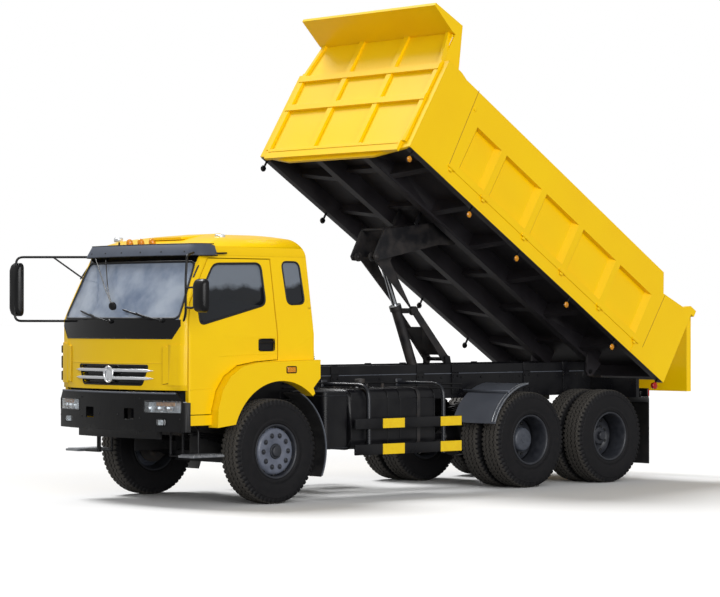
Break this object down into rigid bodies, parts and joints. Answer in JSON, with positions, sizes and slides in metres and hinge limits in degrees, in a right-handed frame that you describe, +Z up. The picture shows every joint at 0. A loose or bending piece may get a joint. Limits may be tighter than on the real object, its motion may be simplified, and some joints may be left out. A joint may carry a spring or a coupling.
{
  "type": "dump truck",
  "caption": "Three-axle cab-over tipper truck with a raised steel body, a hanging tailgate, a lever hoist, a tilting cab and twin driven rear axles.",
  "frame": {"origin": "on the ground under the middle of the bounding box", "axes": "+X forward along the truck, +Y to its left, +Z up"},
  "size_m": [8.0799, 3.12, 5.3805],
  "materials": {
    "body_yellow": "glossy enamel",
    "chassis_black": "satin black",
    "bed_black": "satin black",
    "guard_grey": "satin",
    "mudguard_grey": "satin moulded",
    "rim_bluegrey": "satin",
    "rim_black": "satin",
    "cast_grey": "as cast",
    "polished_rod": "polished",
    "chrome_trim": "bright",
    "tyre": "matt",
    "flap_rubber": "matt",
    "trim_black": "satin moulded",
    "gloss_black": "gloss",
    "visor_slate": "gloss tinted",
    "window_glass": "clear",
    "lamp_clear": "clear lens",
    "lamp_amber": "amber lens",
    "lamp_red": "red lens",
    "reflector_yellow": "retroreflective",
    "seat_cloth": "woven"
  },
  "bodies": {
    "chassis": {"chassis_frame": "chassis_black", "tipper_subframe": "chassis_black", "front_axle": "chassis_black", "rear_axles": "chassis_black", "power_unit": "cast_grey", "fuel_tank": "chassis_black", "battery_and_silencer": "chassis_black", "side_guards": "guard_grey", "guard_reflectors": "reflector_yellow", "rear_mudguards": "mudguard_grey", "front_arch_liners": "flap_rubber", "entry_steps": "chassis_black", "rear_lamps": "lamp_red", "front_bumper": "trim_black", "bumper_lamps": "lamp_clear"},
    "cab": {"front_panel": "body_yellow", "cowl_band": "gloss_black", "cab_glazing": "window_glass", "cab_rear_wall": "body_yellow", "cab_side_left": "body_yellow", "cab_side_right": "body_yellow", "front_fenders": "body_yellow", "cab_floor": "trim_black", "cab_roof": "body_yellow", "sun_visor": "visor_slate", "roof_lamps": "lamp_amber", "grille": "chrome_trim", "mirrors": "trim_black", "seats": "seat_cloth", "dashboard": "trim_black"},
    "door_left": {"door_left": "body_yellow", "door_glass_left": "window_glass"},
    "door_right": {"door_right": "body_yellow", "door_glass_right": "window_glass"},
    "knuckle_left": {"knuckle_left": "cast_grey"},
    "knuckle_right": {"knuckle_right": "cast_grey"},
    "wheel_front_left": {"front_left_tyre": "tyre", "front_left_rim": "rim_bluegrey"},
    "wheel_front_right": {"front_right_tyre": "tyre", "front_right_rim": "rim_bluegrey"},
    "wheel_middle_left": {"middle_left_tyre": "tyre", "middle_left_rim": "rim_black"},
    "wheel_middle_right": {"middle_right_tyre": "tyre", "middle_right_rim": "rim_black"},
    "wheel_rear_left": {"rear_left_tyre": "tyre", "rear_left_rim": "rim_black"},
    "wheel_rear_right": {"rear_right_tyre": "tyre", "rear_right_rim": "rim_black"},
    "bed": {"bed_underframe": "bed_black", "hoist_bracket": "bed_black", "bed_side_left": "body_yellow", "bed_side_right": "body_yellow", "headboard": "body_yellow", "bed_lamps": "lamp_amber"},
    "tailgate": {"tailgate": "body_yellow"},
    "tension_arm": {"tension_arm": "chassis_black"},
    "triangle_arm": {"triangle_arm": "chassis_black"},
    "cylinder_barrel": {"cylinder_barrel": "chassis_black"},
    "cylinder_rod": {"cylinder_rod": "polished_rod"}
  },
  "joints": [
    {"name": "bed_tilt", "type": "hinge", "parent": "chassis", "child": "bed", "pos_m": [-2.984, 0, 1.28], "axis": [0, -1, 0], "range_deg": [-32.14, 0]},
    {"name": "tailgate_hinge", "type": "hinge", "parent": "bed", "child": "tailgate", "pos_m": [-3.97193, 0, 1.98815], "axis": [0, 1, 0], "range_deg": [-32.14, 60]},
    {"name": "tension_pin", "type": "hinge", "parent": "chassis", "child": "tension_arm", "pos_m": [-0.864, 0, 1.45], "axis": [0, -1, 0], "range_deg": [-58.8, 0]},
    {"name": "triangle_pin", "type": "hinge", "parent": "bed", "child": "triangle_arm", "pos_m": [0.255, 0, 2.611], "axis": [0, -1, 0], "range_deg": [-58.6, 0]},
    {"name": "cylinder_base", "type": "hinge", "parent": "chassis", "child": "cylinder_barrel", "pos_m": [-0.564, 0, 1.17], "axis": [0, -1, 0], "range_deg": [-81.7, 0]},
    {"name": "cylinder_stroke", "type": "slide", "parent": "cylinder_barrel", "child": "cylinder_rod", "axis": [0.3736, 0, 0.9276], "range_m": [-0.492, 0]},
    {"name": "cab_tilt", "type": "hinge", "parent": "chassis", "child": "cab", "pos_m": [3.801, 0, 1.02], "axis": [0, 1, 0], "range_deg": [0, 45]},
    {"name": "door_left_hinge", "type": "hinge", "parent": "cab", "child": "door_left", "pos_m": [3.636, 1.04, 1.2], "axis": [0, 0, -1], "range_deg": [0, 70]},
    {"name": "door_right_hinge", "type": "hinge", "parent": "cab", "child": "door_right", "pos_m": [3.636, -1.04, 1.2], "axis": [0, 0, 1], "range_deg": [0, 70]},
    {"name": "steer_left", "type": "hinge", "parent": "chassis", "child": "knuckle_left", "pos_m": [2.566, 0.85, 0.535], "axis": [0, 0, 1], "range_deg": [-35, 35]},
    {"name": "steer_right", "type": "hinge", "parent": "chassis", "child": "knuckle_right", "pos_m": [2.566, -0.85, 0.535], "axis": [0, 0, 1], "range_deg": [-35, 35]},
    {"name": "front_left_spin", "type": "hinge", "parent": "knuckle_left", "child": "wheel_front_left", "pos_m": [2.566, 1.012, 0.543], "axis": [0, 1, 0], "continuous": true},
    {"name": "front_right_spin", "type": "hinge", "parent": "knuckle_right", "child": "wheel_front_right", "pos_m": [2.566, -1.012, 0.543], "axis": [0, 1, 0], "continuous": true},
    {"name": "middle_left_spin", "type": "hinge", "parent": "chassis", "child": "wheel_middle_left", "pos_m": [-1.2415, 1.012, 0.543], "axis": [0, 1, 0], "continuous": true},
    {"name": "middle_right_spin", "type": "hinge", "parent": "chassis", "child": "wheel_middle_right", "pos_m": [-1.2415, -1.012, 0.543], "axis": [0, 1, 0], "continuous": true},
    {"name": "rear_left_spin", "type": "hinge", "parent": "chassis", "child": "wheel_rear_left", "pos_m": [-2.586, 1.012, 0.543], "axis": [0, 1, 0], "continuous": true},
    {"name": "rear_right_spin", "type": "hinge", "parent": "chassis", "child": "wheel_rear_right", "pos_m": [-2.586, -1.012, 0.543], "axis": [0, 1, 0], "continuous": true}
  ],
  "couplings": [
    {"joint": "triangle_pin", "follows": "bed_tilt", "ratio": 1.8196},
    {"joint": "tension_pin", "follows": "bed_tilt", "ratio": 1.8268},
    {"joint": "cylinder_base", "follows": "bed_tilt", "ratio": 2.5365},
    {"joint": "cylinder_stroke", "follows": "bed_tilt", "m_per_rad": 0.87522},
    {"joint": "steer_right", "follows": "steer_left", "ratio": 1}
  ]
}
